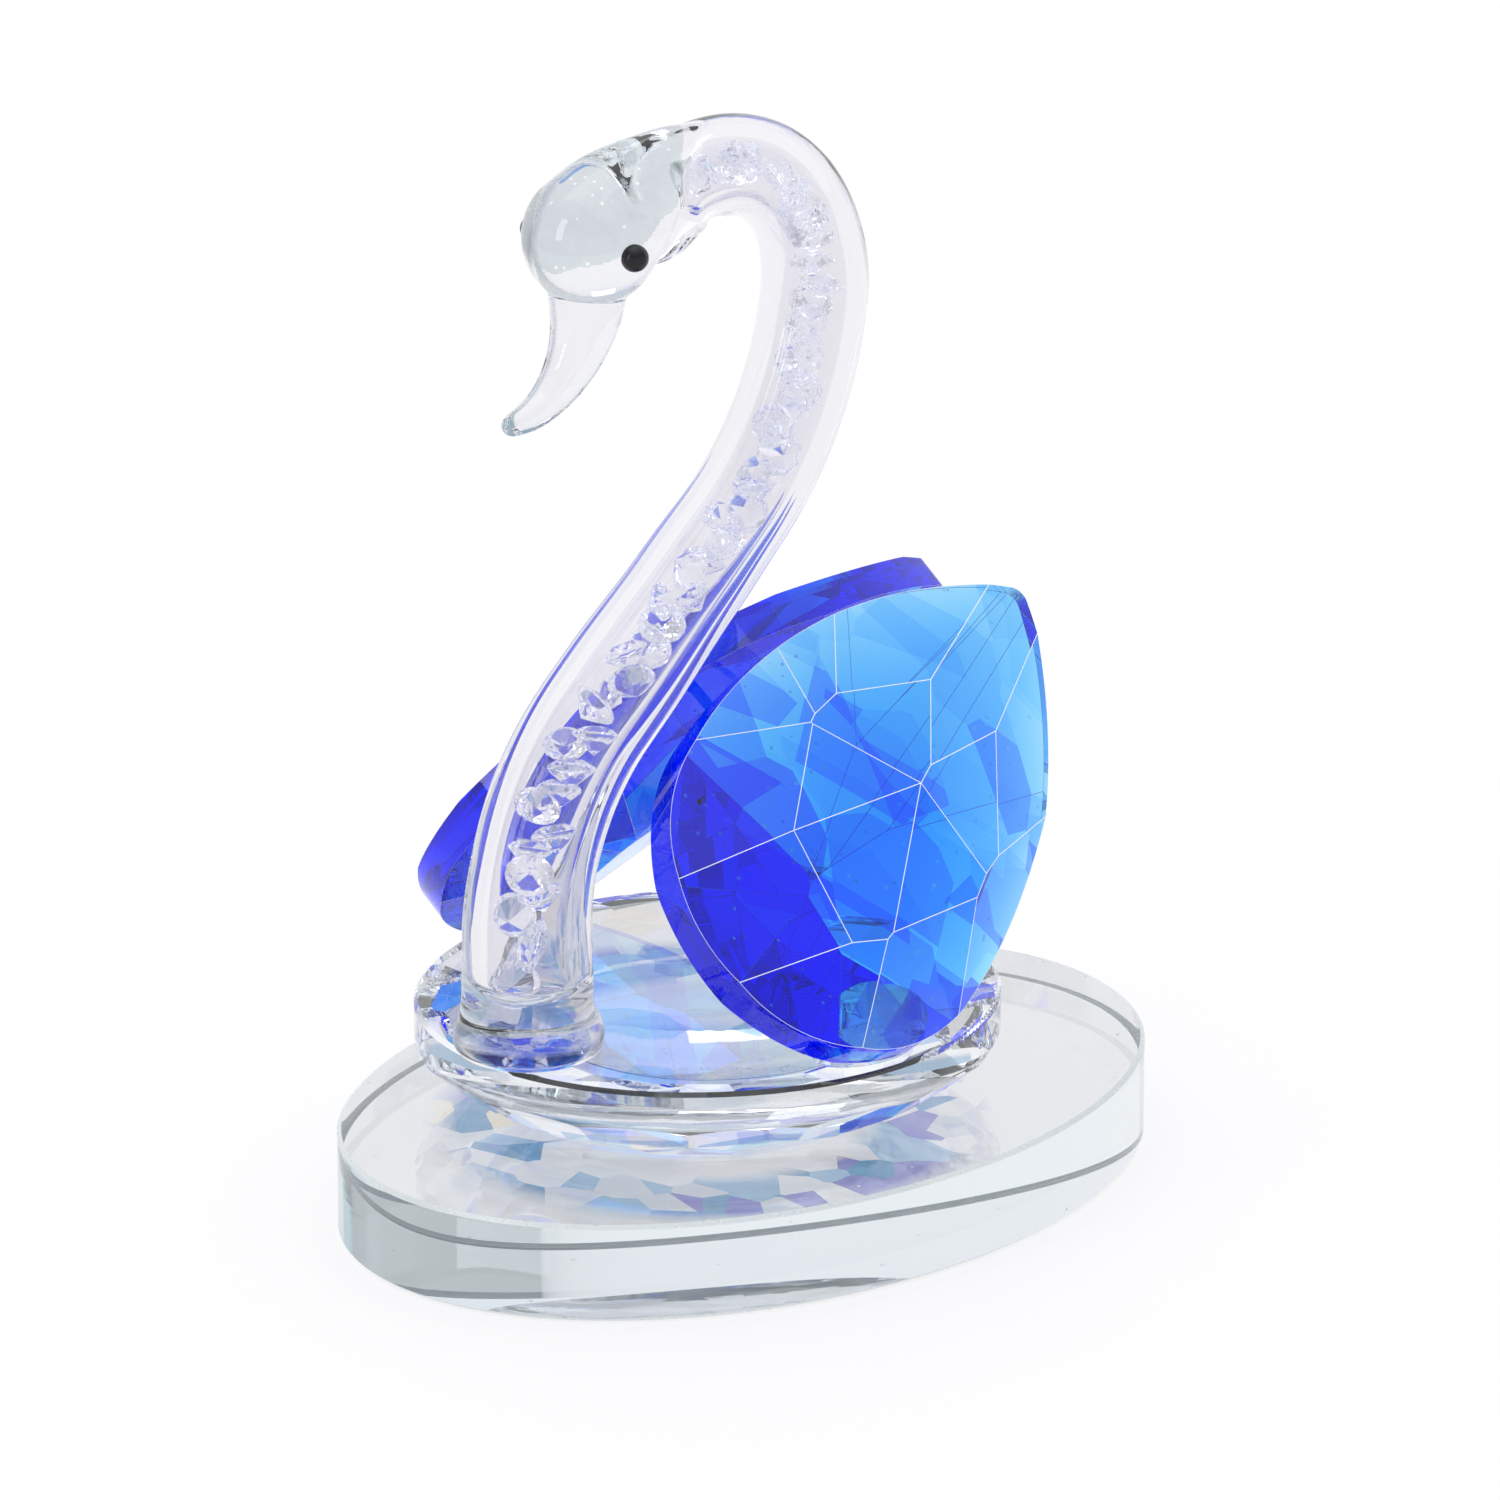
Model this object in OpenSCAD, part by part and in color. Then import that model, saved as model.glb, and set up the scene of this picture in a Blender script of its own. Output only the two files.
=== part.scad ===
// Crystal swan figurine: oval base plate, faceted body crystal, hollow stone-filled neck,
// solid head and beak, two pear-cut blue wings. Millimetres, +Z up.
// Origin: centre of the base plate's underside. The swan faces -X, its left side is -Y.

/* [Base plate] */
// Length of the base plate along X
base_l = 100; // [90:1:120]
// Width of the base plate along Y
base_w = 71.4; // [64:0.2:84]
// Thickness of the base plate
base_t = 10.8; // [8:0.2:14]
// Width of the polished bevel on the base edges
base_bevel = 0.6; // [0.2:0.1:1.2]

/* [Body crystal] */
// Length of the body crystal along X
body_l = 64.6; // [60:0.2:68]
// Width of the body crystal along Y
body_w = 61.4; // [58:0.2:62]
// Position of the body centre along X
body_x = -5.6; // [-8:0.2:-2]
// Radius of the two end arcs of the body outline
body_end_r = 29.4; // [28:0.1:30]
// Height of the faceted underside
pavilion_h = 7.4; // [5:0.2:9]
// Height of the straight girdle, bevel included
girdle_h = 4.2; // [3:0.2:6]
// Angle of the underside facets from vertical
pavilion_angle = 50; // [40:1:56]
// Number of underside facets in each row
pavilion_n = 16; // [12:2:20]
// Height of the lower row of underside facets
lower_h = 3.6; // [3:0.1:4]
// Angle of the lower row of facets from vertical
lower_angle = 64; // [60:1:66]
// Bevel on the top edge of the body
body_bevel = 0.5; // [0.2:0.1:0.8]

/* [Wings] */
// Radius of the round end of the pear outline
wing_r = 20.4; // [18:0.2:21.5]
// Distance from the round end's centre to the sharp tip before rounding
wing_reach = 46.9; // [44:0.1:49]
// Radius of the long side arcs
wing_side_r = 58; // [54:0.5:62]
// Radius of the rounded tip
wing_tip_r = 1.8; // [1:0.1:2.6]
// Thickness of the plain edge band
wing_band = 3.7; // [3:0.1:4.2]
// Height of the faceted face above the edge band
wing_crown = 5.4; // [4.8:0.1:6]
// Depth of the faceted back below the edge band
wing_back = 5.8; // [5.4:0.1:6]
// Angle of the wing face from horizontal
wing_lean = 52.6; // [51:0.1:54]
// Turn of the wing plane about vertical
wing_toe = -2.2; // [-3:0.1:0]
// Rise of the pear's long axis within the wing plane
wing_rise = 29.6; // [28:0.1:31]
// Wing centre along X
wing_x = -6.3; // [-7.3:0.1:-5.3]
// Wing centre out from the mid plane
wing_y = 19.7; // [19.5:0.1:20.2]
// Wing centre height
wing_z = 41.4; // [41.2:0.1:42]

/* [Neck] */
// Position of the neck foot along X
neck_x = -32.2; // [-32.6:0.1:-31.6]
// Radius of the neck tube at the foot
neck_r0 = 7.0; // [6.8:0.1:7.2]
// Radius of the neck tube through the lower bend
neck_r1 = 6.6; // [6.4:0.1:6.7]
// Radius of the neck tube through the upper bend
neck_r2 = 5.85; // [5.7:0.05:6]
// Radius of the neck tube over the crest
neck_r3 = 5.45; // [5.4:0.05:5.6]
// Bore radius along the neck, as a share of the outer radius
bore_share = 0.62; // [0.58:0.01:0.64]
// Bore radius at its end over the crest, as a share of the outer radius
bore_end_share = 0.52; // [0.48:0.01:0.58]
// Radius of the solid foot
foot_r = 8.0; // [7.6:0.1:8.4]
// Height of the solid foot
foot_h = 5.6; // [5:0.1:6.4]

/* [Stones] */
// Diameter of one stone
stone_d = 4.8; // [4.2:0.1:4.9]
// Least spacing of the stones along the bore
stone_pitch = 2.7; // [2.2:0.1:3.4]

/* [Head] */
// Radius of the head behind the beak
head_r = 7.3; // [7:0.1:7.6]
// Radius of the crown of the head
crown_r = 7.0; // [6.6:0.1:7.2]
// Radius of an eye bead
eye_r = 1.5; // [1.2:0.1:1.8]

/* [Hidden] */

clear_glass = [0.93, 0.96, 0.97, 0.45];
blue_glass = [0.08, 0.35, 0.9, 0.7];
grey_glass = [0.72, 0.8, 0.83, 0.55];
black_glass = [0.02, 0.02, 0.02, 1];
resin = [0.96, 0.97, 0.95, 0.4];

film = 0.15;                     // thickness of a glue film
smooth = 96;                     // segments of a large circle
fine = 48;                       // segments of a small circle
far = 140;                       // longer than anything in the part

body_z = base_t + film;          // underside of the body crystal
girdle_z = body_z + pavilion_h;  // lower edge of the girdle
top_z = girdle_z + girdle_h;     // flat top of the body crystal
foot_z = top_z + film;           // underside of the neck foot

// Oval outline made of two end arcs and two long side arcs that meet without a corner.
function side_r(a, b, re) = (pow(a - re, 2) + b * b - re * re) / (2 * (b - re));

module oval_slab(a, b, re, h, inset_low = 0, inset_high = 0, fn = smooth) {
    c = a - re;
    rs = side_r(a, b, re);
    k = rs - b;
    n = norm([c, k]);
    reach = rs * 1.3;
    for (s = [-1, 1]) {
        intersection() {
            translate([0, -s * k, 0])
                cylinder(h = h, r1 = rs - inset_low, r2 = rs - inset_high, $fn = 2 * fn);
            translate([0, -s * k, -1])
                linear_extrude(height = h + 2)
                    polygon([[0, 0], [reach * c / n, s * reach * k / n],
                        [reach * c / n, s * far], [-reach * c / n, s * far],
                        [-reach * c / n, s * reach * k / n]]);
        }
        translate([s * c, 0, 0])
            cylinder(h = h, r1 = re - inset_low, r2 = re - inset_high, $fn = fn);
    }
}

// The outline is an ellipse; its bevels run on past the flat faces, which a slab cuts square.
module base_plate() {
    a = base_l / 2;
    e = base_bevel;
    color(clear_glass)
        intersection() {
            scale([1, base_w / base_l, 1])
                rotate_extrude($fn = 2 * smooth)
                    polygon([[0, -1], [a - e - 1, -1], [a, e], [a, base_t - e],
                        [a - e - 1, base_t + 1], [0, base_t + 1]]);
            translate([-base_l, -base_w, 0])
                cube([2 * base_l, 2 * base_w, base_t]);
        }
}

// Distance from the body's centre to the tangent line of its outline facing angle t.
function body_support(t) =
    let (c = body_l / 2 - body_end_r,
         rs = side_r(body_l / 2, body_w / 2, body_end_r),
         k = rs - body_w / 2)
    abs(tan(t)) < k / c ? c * abs(cos(t)) + body_end_r : rs - k * abs(sin(t));

module body_column(z0, h, low, high) {
    translate([body_x, 0, z0])
        oval_slab(body_l / 2, body_w / 2, body_end_r, h, low, high);
}

facet_block = [10, 24, 40];      // depth, width and length of what one underside facet takes off

// What lies beyond the underside facet that faces direction t, at a height and reach from the axis.
module beyond_facet(t, z, reach, angle) {
    translate([body_x, 0, z])
        rotate([0, 0, t])
            translate([reach, 0, 0])
                rotate([0, angle, 0])
                    translate([0, -facet_block[1] / 2, -facet_block[2] / 2])
                        cube(facet_block);
}

upper_h = pavilion_h - lower_h;
function lower_reach(t) = body_support(t) - upper_h * tan(pavilion_angle);

module body_crystal() {
    step = 360 / pavilion_n;
    color(clear_glass) union() {
        difference() {
            body_column(body_z, pavilion_h + girdle_h - body_bevel, 0, 0);
            for (i = [0 : pavilion_n - 1]) {
                t = (i + 0.5) * step;
                beyond_facet(t, girdle_z, body_support(t), pavilion_angle);
                beyond_facet(i * step, girdle_z - upper_h, lower_reach(i * step), lower_angle);
            }
        }
        body_column(top_z - body_bevel, body_bevel, 0, body_bevel);
    }
}

module base_bond() {
    r = lower_reach(90) - lower_h * tan(lower_angle) - 0.6;
    color(resin)
        translate([body_x, 0, base_t])
            cylinder(h = film, r = r, $fn = smooth);
}

// ---- neck: straight and curved runs joined end to end, each
// [bend radius, length or turn, start radius, end radius, start bore, end bore]
// A bend radius of 0 is a straight run with a length; otherwise a positive turn is to the left.
tube_z = top_z + film + foot_h;
b0 = neck_r0 * bore_share;
b1 = neck_r1 * bore_share;
b2 = neck_r2 * bore_share;
b3 = neck_r3 * bore_end_share;
neck_runs = [
    [0, 7.2, neck_r0, neck_r1, b0, b1],
    [29.2, -49.9, neck_r1, neck_r1, b1, b1],
    [0, 25.8, neck_r1, neck_r2, b1, b2],
    [35.5, 39.7, neck_r2, neck_r2, b2, b2],
    [0, 0.8, neck_r2, neck_r3, b2, b3],
    [15.2, 134, neck_r3, neck_r3, b3, b3]
];
stone_turn = 130;                // the stones fill the last bend up to this turn
lap = 0.15;                      // a straight run laps this far over the bends beside it

function run_len(r) = r[0] == 0 ? r[1] : r[0] * abs(r[1]) * PI / 180;
function run_step(r, s) = r[0] == 0
    ? [s, 0, 0]
    : let (t = s / r[0] * 180 / PI, g = sign(r[1]))
      [r[0] * sin(t), g * r[0] * (1 - cos(t)), g * t];
// Point [x, z, heading] after distance s from state p within run r.
function go(p, r, s) = let (d = run_step(r, s))
    [p[0] + d[0] * cos(p[2]) - d[1] * sin(p[2]),
     p[1] + d[0] * sin(p[2]) + d[1] * cos(p[2]),
     p[2] + d[2]];
function walk(runs, p, s, i = 0) = i == len(runs) - 1 || s <= run_len(runs[i])
    ? go(p, runs[i], s)
    : walk(runs, go(p, runs[i], run_len(runs[i])), s - run_len(runs[i]), i + 1);
function total(runs, i = 0) = i == len(runs) ? 0 : run_len(runs[i]) + total(runs, i + 1);
function after(runs, p, n, i = 0) = i == n ? p : after(runs, go(p, runs[i], run_len(runs[i])), n, i + 1);

neck_start = [neck_x, tube_z, 90];
crest = neck_runs[5];            // the last bend, which ends inside the head
crest_start = after(neck_runs, neck_start, 5);

module place(p) {
    translate([p[0], 0, p[1]])
        rotate([0, -p[2], 0])
            children();
}

// A hollow cone along +X from x0 to x1; the lap makes it a hair thicker than the bends.
module straight_run(x0, x1, r, hair = 0.02) {
    rotate([0, 90, 0])
        rotate_extrude($fn = fine)
            polygon([[r[4] - hair, x0], [r[2] + hair, x0], [r[3] + hair, x1], [r[5] - hair, x1]]);
}

// A bend that leaves the origin along +X; b is its bore.
module bend(r, turn, outer, b) {
    translate([0, 0, sign(turn) * r])
        rotate([90, 0, 0])
            rotate([0, 0, turn > 0 ? -90 : 90 + turn])
                rotate_extrude(angle = abs(turn), $fn = 180)
                    translate([r, 0])
                        difference() {
                            circle(r = outer, $fn = fine);
                            if (b > 0)
                                circle(r = b, $fn = fine);
                        }
}

module neck_tube() {
    color(clear_glass)
        for (i = [0 : len(neck_runs) - 1]) {
            r = neck_runs[i];
            place(after(neck_runs, neck_start, i))
                if (r[0] == 0)
                    straight_run(i == 0 ? 0 : -lap, r[1] + lap, r);
                else
                    bend(r[0], r[1], r[2], r[4]);
        }
}

module neck_foot() {
    lip = 1.2;
    color(clear_glass)
        translate([neck_x, 0, foot_z]) {
            rotate_extrude($fn = smooth)
                union() {
                    square([foot_r - lip, foot_h]);
                    translate([0, lip])
                        square([foot_r, 1.6]);
                    translate([foot_r - lip, lip])
                        circle(r = lip, $fn = fine);
                    polygon([[0, lip + 1.6], [foot_r, lip + 1.6], [neck_r0, foot_h], [0, foot_h]]);
                }
        }
}

module neck_bond() {
    color(resin)
        translate([neck_x, 0, top_z])
            cylinder(h = film, r = foot_r - 1.6, $fn = smooth);
}

// ---- stones: round brilliants with a flat table and a point, piled in the bore
module stone() {
    r = stone_d / 2;
    cut = 8;
    translate([0, 0, 0.1 * r]) {
        translate([0, 0, -0.02])
            cylinder(h = 0.36 * r + 0.02, r1 = r, r2 = 0.58 * r, $fn = cut);
        translate([0, 0, -0.78 * r])
            cylinder(h = 0.78 * r, r1 = 0.08 * r, r2 = r, $fn = cut);
    }
}

stone_twist = 137;               // turn about the centre line from one stone to the next
stone_first = 2.6;
stone_last = total(neck_runs) - crest[0] * (crest[1] - stone_turn) * PI / 180 - 2.2;

// How far a stone's centre lies off the centre line at distance s along the neck.
function bore_at(s) = lookup(s, [[0, b0], [7.2, b1], [32.6, b1], [58.4, b2], [83, b2], [84, b3], [200, b3]]);
function stone_off(s) = max(0.15, bore_at(s) - stone_d / 2 - 0.15);
function stone_gap(s) =
    let (side = 2 * stone_off(s) * sin(stone_twist / 2), reach = stone_d + 0.1)
    max(stone_pitch, side < reach ? sqrt(reach * reach - side * side) : 0);
function stone_places(s, found = []) = s > stone_last ? found
    : stone_places(s + stone_gap(s), concat(found, [s]));
stones = stone_places(stone_first);
stone_total = len(stones);

module stone_row(from, to) {
    for (i = [from : to]) {
        place(walk(neck_runs, neck_start, stones[i]))
            rotate([i * stone_twist, 0, 0])
                translate([0, 0, stone_off(stones[i])])
                    rotate([25 * sin(i * 131), 90 + 55 * sin(i * 73), 40 * i])
                        stone();
    }
}

stone_a = floor(stone_total / 3);
stone_b = floor(stone_total * 2 / 3);

module stones_lower() {
    color(clear_glass)
        stone_row(0, stone_a - 1);
}

module stones_middle() {
    color(clear_glass)
        stone_row(stone_a, stone_b - 1);
}

module stones_upper() {
    color(clear_glass)
        stone_row(stone_b, stone_total - 1);
}

// ---- head: an egg along a tilted axis; beak: tapering runs between round joints
head_len = 7.6;
head_side_r = 26;
head_x = -22.4;
head_z = 110.2;
head_tilt = 22;
egg_cx = (pow(head_side_r - head_r, 2) - pow(head_side_r - crown_r, 2) + head_len * head_len)
    / (2 * head_len);
egg_cy = sqrt(pow(head_side_r - head_r, 2) - egg_cx * egg_cx);
egg_x0 = -head_r * egg_cx / (head_side_r - head_r);
egg_x1 = head_len + crown_r * (head_len - egg_cx) / (head_side_r - crown_r);
beak_line = [[-23.1, 104.6, 4.3], [-23.3, 101.0, 3.65], [-24.8, 97.6, 2.95], [-27.4, 94.7, 2.35],
    [-30.6, 92.8, 1.8], [-33.7, 92.2, 1.3]];
eye_x = -23.4;
eye_z = 109.7;
eye_y = head_r + 0.25;

module egg() {
    translate([head_x, 0, head_z])
        rotate([0, 90 - head_tilt, 0])
            rotate_extrude($fn = smooth)
                intersection() {
                    union() {
                        circle(r = head_r, $fn = smooth);
                        translate([0, head_len])
                            circle(r = crown_r, $fn = smooth);
                        intersection() {
                            translate([-egg_cy, egg_cx])
                                circle(r = head_side_r, $fn = 2 * smooth);
                            translate([0, egg_x0])
                                square([far, egg_x1 - egg_x0]);
                        }
                    }
                    translate([0, -far / 2])
                        square([far / 2, far]);
                }
}

// Smooth curve through the beak line: value k of point i, share t of the way to point i + 1.
function ease(i, t, k) =
    let (n = len(beak_line) - 1,
         p0 = beak_line[max(i - 1, 0)][k],
         p1 = beak_line[i][k],
         p2 = beak_line[i + 1][k],
         p3 = beak_line[min(i + 2, n)][k])
    0.5 * (2 * p1 + (p2 - p0) * t + (2 * p0 - 5 * p1 + 4 * p2 - p3) * t * t
        + (3 * p1 - p0 - 3 * p2 + p3) * t * t * t);

beak_steps = 4;
beak_sides = 28;
beak_last = len(beak_line) - 1;
beak_end = beak_line[beak_last];
tip_turn = atan2(beak_end[1] - beak_line[beak_last - 1][1], beak_end[0] - beak_line[beak_last - 1][0]);
beak_rings = concat(
    [for (i = [0 : beak_last - 1]) for (j = [0 : beak_steps - 1])
        [ease(i, j / beak_steps, 0), ease(i, j / beak_steps, 1), ease(i, j / beak_steps, 2)]],
    [for (t = [0 : 18 : 72])
        [beak_end[0] + beak_end[2] * sin(t) * cos(tip_turn),
            beak_end[1] + beak_end[2] * sin(t) * sin(tip_turn),
            beak_end[2] * cos(t)]]);

function ring_turn(i) =
    let (p = beak_rings[max(i - 1, 0)], q = beak_rings[min(i + 1, len(beak_rings) - 1)])
    atan2(q[1] - p[1], q[0] - p[0]);

module beak_loft() {
    m = beak_sides;
    n = len(beak_rings);
    points = [for (i = [0 : n - 1]) for (j = [0 : m - 1])
        let (g = beak_rings[i], t = ring_turn(i), u = g[2] * cos(j * 360 / m))
        [g[0] - u * sin(t), g[2] * sin(j * 360 / m), g[1] + u * cos(t)]];
    skin = [for (i = [0 : n - 2]) for (j = [0 : m - 1]) for (h = [0, 1])
        let (a = i * m + j, b = i * m + (j + 1) % m)
        h == 0 ? [a, b, b + m] : [a, b + m, a + m]];
    caps = [[for (j = [m - 1 : -1 : 0]) j], [for (j = [0 : m - 1]) (n - 1) * m + j]];
    polyhedron(points = points, faces = concat(skin, caps), convexity = 4);
}

module head() {
    color(grey_glass)
        difference() {
            egg();
            place(crest_start)
                bend(crest[0], crest[1], crest[2], 0);
            for (s = [-1, 1])
                translate([eye_x, s * (eye_y - eye_r - 0.02), eye_z])
                    rotate([-s * 90, 0, 0])
                        cylinder(h = far / 10, r = eye_r + 0.02, $fn = fine);
        }
}

module beak() {
    color(clear_glass)
        difference() {
            beak_loft();
            egg();
        }
}

module eye(s) {
    color(black_glass)
        translate([eye_x, s * eye_y, eye_z])
            sphere(r = eye_r, $fn = fine);
}

module eye_left() {
    eye(-1);
}

module eye_right() {
    eye(1);
}

// ---- wings: pear outline of four tangent arcs, faceted back, faceted outer face
pear_cx = (pow(wing_reach, 2) + wing_r * wing_r - 2 * wing_side_r * wing_r) / (2 * wing_reach);
pear_cy = sqrt(pow(wing_side_r - wing_r, 2) - pear_cx * pear_cx);
pear_x0 = -wing_r * pear_cx / (wing_side_r - wing_r);
tip_x = pear_cx + sqrt(pow(wing_side_r - wing_tip_r, 2) - pear_cy * pear_cy);
pear_x1 = tip_x + wing_tip_r * (tip_x - pear_cx) / (wing_side_r - wing_tip_r);

module pear_slab(z0, h) {
    translate([0, 0, z0]) {
        cylinder(h = h, r = wing_r, $fn = smooth);
        intersection() {
            translate([pear_cx, -pear_cy, 0])
                cylinder(h = h, r = wing_side_r, $fn = 2 * smooth);
            translate([pear_cx, pear_cy, 0])
                cylinder(h = h, r = wing_side_r, $fn = 2 * smooth);
            translate([pear_x0, -far / 2, -1])
                cube([pear_x1 - pear_x0, far, h + 2]);
        }
        translate([tip_x, 0, 0])
            cylinder(h = h, r = wing_tip_r, $fn = fine);
    }
}

// Facets of the outer face: [direction from the long axis, slope, height above the peak position].
peak = [12.4, -1.3];
wing_facets = [
    [130, 8.7, 0], [152, 8.1, 0], [253, 7.9, 0], [304, 10.4, 0], [60.5, 10.2, 0], [1, 9.2, 0.2],
    [57.5, 17, 1.5], [303, 19.1, 1.8], [276.5, 36, 6.8], [247.5, 20.7, 3.2], [199, 15.9, 3.6],
    [152.5, 10.6, 0.75], [125, 12, 0.8], [80.5, 22.2, 3.3], [71, 20.6, 2.6]
];

// Facets of the back: [direction from the long axis, slope, distance out to the edge band].
back_facets = [
    [8, 7.4, 45.9], [29, 8.8, 40.8], [47, 11.8, 32.3], [76, 15, 22.2], [118, 15.5, 20.4],
    [158, 16, 20.4], [196, 16.5, 20.4], [238, 19, 20.4], [284, 15, 22.2], [311, 11.4, 31.6],
    [334, 8.2, 41.8]
];
glued_facet = back_facets[7];

// Everything on the wing's side of a back facet, or beyond it.
module back_side(f, beyond) {
    rotate([0, 0, f[0]])
        translate([f[2], 0, -wing_band])
            rotate([0, -f[1], 0])
                translate([-far / 2, -far / 2, beyond ? -far / 2 : 0])
                    cube([far, far, far / 2]);
}

module blade() {
    difference() {
        pear_slab(-wing_band - wing_back, wing_band + wing_back + wing_crown + 0.1);
        for (f = back_facets)
            back_side(f, true);
        for (f = wing_facets)
            translate([peak[0], peak[1], wing_crown + f[2]])
                rotate([0, 0, f[0]])
                    rotate([0, f[1], 0])
                        translate([-far / 2, -far / 2, 0])
                            cube([far, far, 40]);
    }
}

module on_wing() {
    translate([wing_x, -wing_y, wing_z])
        rotate([0, 0, wing_toe])
            rotate([wing_lean, 0, 0])
                rotate([0, 0, wing_rise])
                    children();
}

module wing_left() {
    color(blue_glass)
        on_wing()
            blade();
}

module wing_right() {
    color(blue_glass)
        mirror([0, 1, 0])
            on_wing()
                blade();
}

// Clear resin wedge that carries a wing on the body's flat top.
module wing_wedge() {
    difference() {
        translate([wing_x - 0.3, -24.7, top_z])
            oval_slab(6.2, 3.8, 2.4, 12, 0, 0, fine);
        on_wing()
            back_side(glued_facet, false);
    }
}

module wing_bond_left() {
    color(resin)
        wing_wedge();
}

module wing_bond_right() {
    color(resin)
        mirror([0, 1, 0])
            wing_wedge();
}

base_plate();
base_bond();
body_crystal();
neck_bond();
neck_foot();
neck_tube();
stones_lower();
stones_middle();
stones_upper();
head();
beak();
eye_left();
eye_right();
wing_left();
wing_right();
wing_bond_left();
wing_bond_right();
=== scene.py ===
"""Looks of the crystal swan: clear plate and body crystal, stone-filled glass neck, blue wings."""

import math
import random

import bmesh
import bpy
from mathutils import Matrix, Vector, noise


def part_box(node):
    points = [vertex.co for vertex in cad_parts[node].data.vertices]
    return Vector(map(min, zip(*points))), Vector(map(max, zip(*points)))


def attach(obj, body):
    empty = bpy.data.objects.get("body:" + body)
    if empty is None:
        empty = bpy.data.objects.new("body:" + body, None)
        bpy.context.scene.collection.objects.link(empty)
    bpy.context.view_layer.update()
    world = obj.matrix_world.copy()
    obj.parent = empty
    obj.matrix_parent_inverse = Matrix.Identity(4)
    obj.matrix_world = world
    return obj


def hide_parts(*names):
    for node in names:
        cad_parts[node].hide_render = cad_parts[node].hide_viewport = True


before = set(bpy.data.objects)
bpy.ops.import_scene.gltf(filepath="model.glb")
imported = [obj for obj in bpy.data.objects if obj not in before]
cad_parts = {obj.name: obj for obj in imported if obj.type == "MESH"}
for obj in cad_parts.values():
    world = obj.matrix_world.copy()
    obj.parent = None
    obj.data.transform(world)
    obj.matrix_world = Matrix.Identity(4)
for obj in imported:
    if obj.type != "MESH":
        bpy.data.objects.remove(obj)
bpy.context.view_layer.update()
MM = 0.001
UP = (0.0, 0.0, 1.0)

# Lengths are in mm and angles in degrees, unless a line says otherwise.
# The body crystal's axis, the lower edge of its girdle, and how far up its facets carry the painted
# reflection (m).
BODY_X = -5.6
GIRDLE_Z = 18.35
PAINTED_REFLECTION_TOP = (GIRDLE_Z - 0.6) * MM

# ---------------------------------------------------------------- camera
AIM = Vector((11.0, 10.4, 42.9)) * MM
VIEW_AZ = -44.6
VIEW_EL = 19.4
VIEW_DISTANCE = 1249 * MM
FIELD_OF_VIEW = 7.43


def make_camera():
    a = math.radians(VIEW_AZ)
    e = math.radians(VIEW_EL)
    back = Vector((math.sin(a) * math.cos(e), -math.cos(a) * math.cos(e), math.sin(e)))
    data = bpy.data.cameras.new("camera")
    cam = bpy.data.objects.new("camera", data)
    bpy.context.scene.collection.objects.link(cam)
    data.sensor_width = 36
    data.lens = 18 / math.tan(math.radians(FIELD_OF_VIEW / 2))
    data.clip_start = 0.05
    data.clip_end = 60
    cam.location = AIM + back * VIEW_DISTANCE
    cam.rotation_mode = "QUATERNION"
    cam.rotation_quaternion = (-back).to_track_quat("-Z", "Y")
    bpy.context.scene.camera = cam


# ---------------------------------------------------------------- node helpers
def new_material(name):
    mat = bpy.data.materials.new(name)
    mat.use_nodes = True
    tree = mat.node_tree
    tree.nodes.clear()
    out = tree.nodes.new("ShaderNodeOutputMaterial")
    shader = tree.nodes.new("ShaderNodeBsdfPrincipled")
    tree.links.new(shader.outputs["BSDF"], out.inputs["Surface"])
    return mat, tree, shader, out


def object_coords(tree):
    return tree.nodes.new("ShaderNodeTexCoord").outputs["Object"]


def noise_value(tree, vector, scale, detail=3.0, roughness=0.5, distortion=0.0):
    node = tree.nodes.new("ShaderNodeTexNoise")
    node.inputs["Scale"].default_value = scale
    node.inputs["Detail"].default_value = detail
    node.inputs["Roughness"].default_value = roughness
    node.inputs["Distortion"].default_value = distortion
    tree.links.new(vector, node.inputs["Vector"])
    return node.outputs["Fac"]


def speck_value(tree, vector, scale, size):
    """1 inside sparse small dots, 0 elsewhere."""
    cells = tree.nodes.new("ShaderNodeTexVoronoi")
    cells.inputs["Scale"].default_value = scale
    tree.links.new(vector, cells.inputs["Vector"])
    dots = tree.nodes.new("ShaderNodeMapRange")
    dots.inputs["From Min"].default_value = size
    dots.inputs["From Max"].default_value = size * 0.6
    tree.links.new(cells.outputs["Distance"], dots.inputs["Value"])
    keep = tree.nodes.new("ShaderNodeMath")
    keep.operation = "GREATER_THAN"
    keep.inputs[1].default_value = 0.62
    split = tree.nodes.new("ShaderNodeSeparateColor")
    tree.links.new(cells.outputs["Color"], split.inputs["Color"])
    tree.links.new(split.outputs["Red"], keep.inputs[0])
    both = tree.nodes.new("ShaderNodeMath")
    both.operation = "MULTIPLY"
    tree.links.new(dots.outputs["Result"], both.inputs[0])
    tree.links.new(keep.outputs["Value"], both.inputs[1])
    return both.outputs["Value"]


def remap(tree, value, low, high, to_low, to_high):
    node = tree.nodes.new("ShaderNodeMapRange")
    node.inputs["From Min"].default_value = low
    node.inputs["From Max"].default_value = high
    node.inputs["To Min"].default_value = to_low
    node.inputs["To Max"].default_value = to_high
    tree.links.new(value, node.inputs["Value"])
    return node.outputs["Result"]


def mix_colour(tree, fac, first, second):
    node = tree.nodes.new("ShaderNodeMix")
    node.data_type = "RGBA"
    tree.links.new(fac, node.inputs["Factor"])
    for socket, colour in ((node.inputs[6], first), (node.inputs[7], second)):
        if isinstance(colour, tuple):
            socket.default_value = colour
        else:
            tree.links.new(colour, socket)
    return node.outputs[2]


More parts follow.
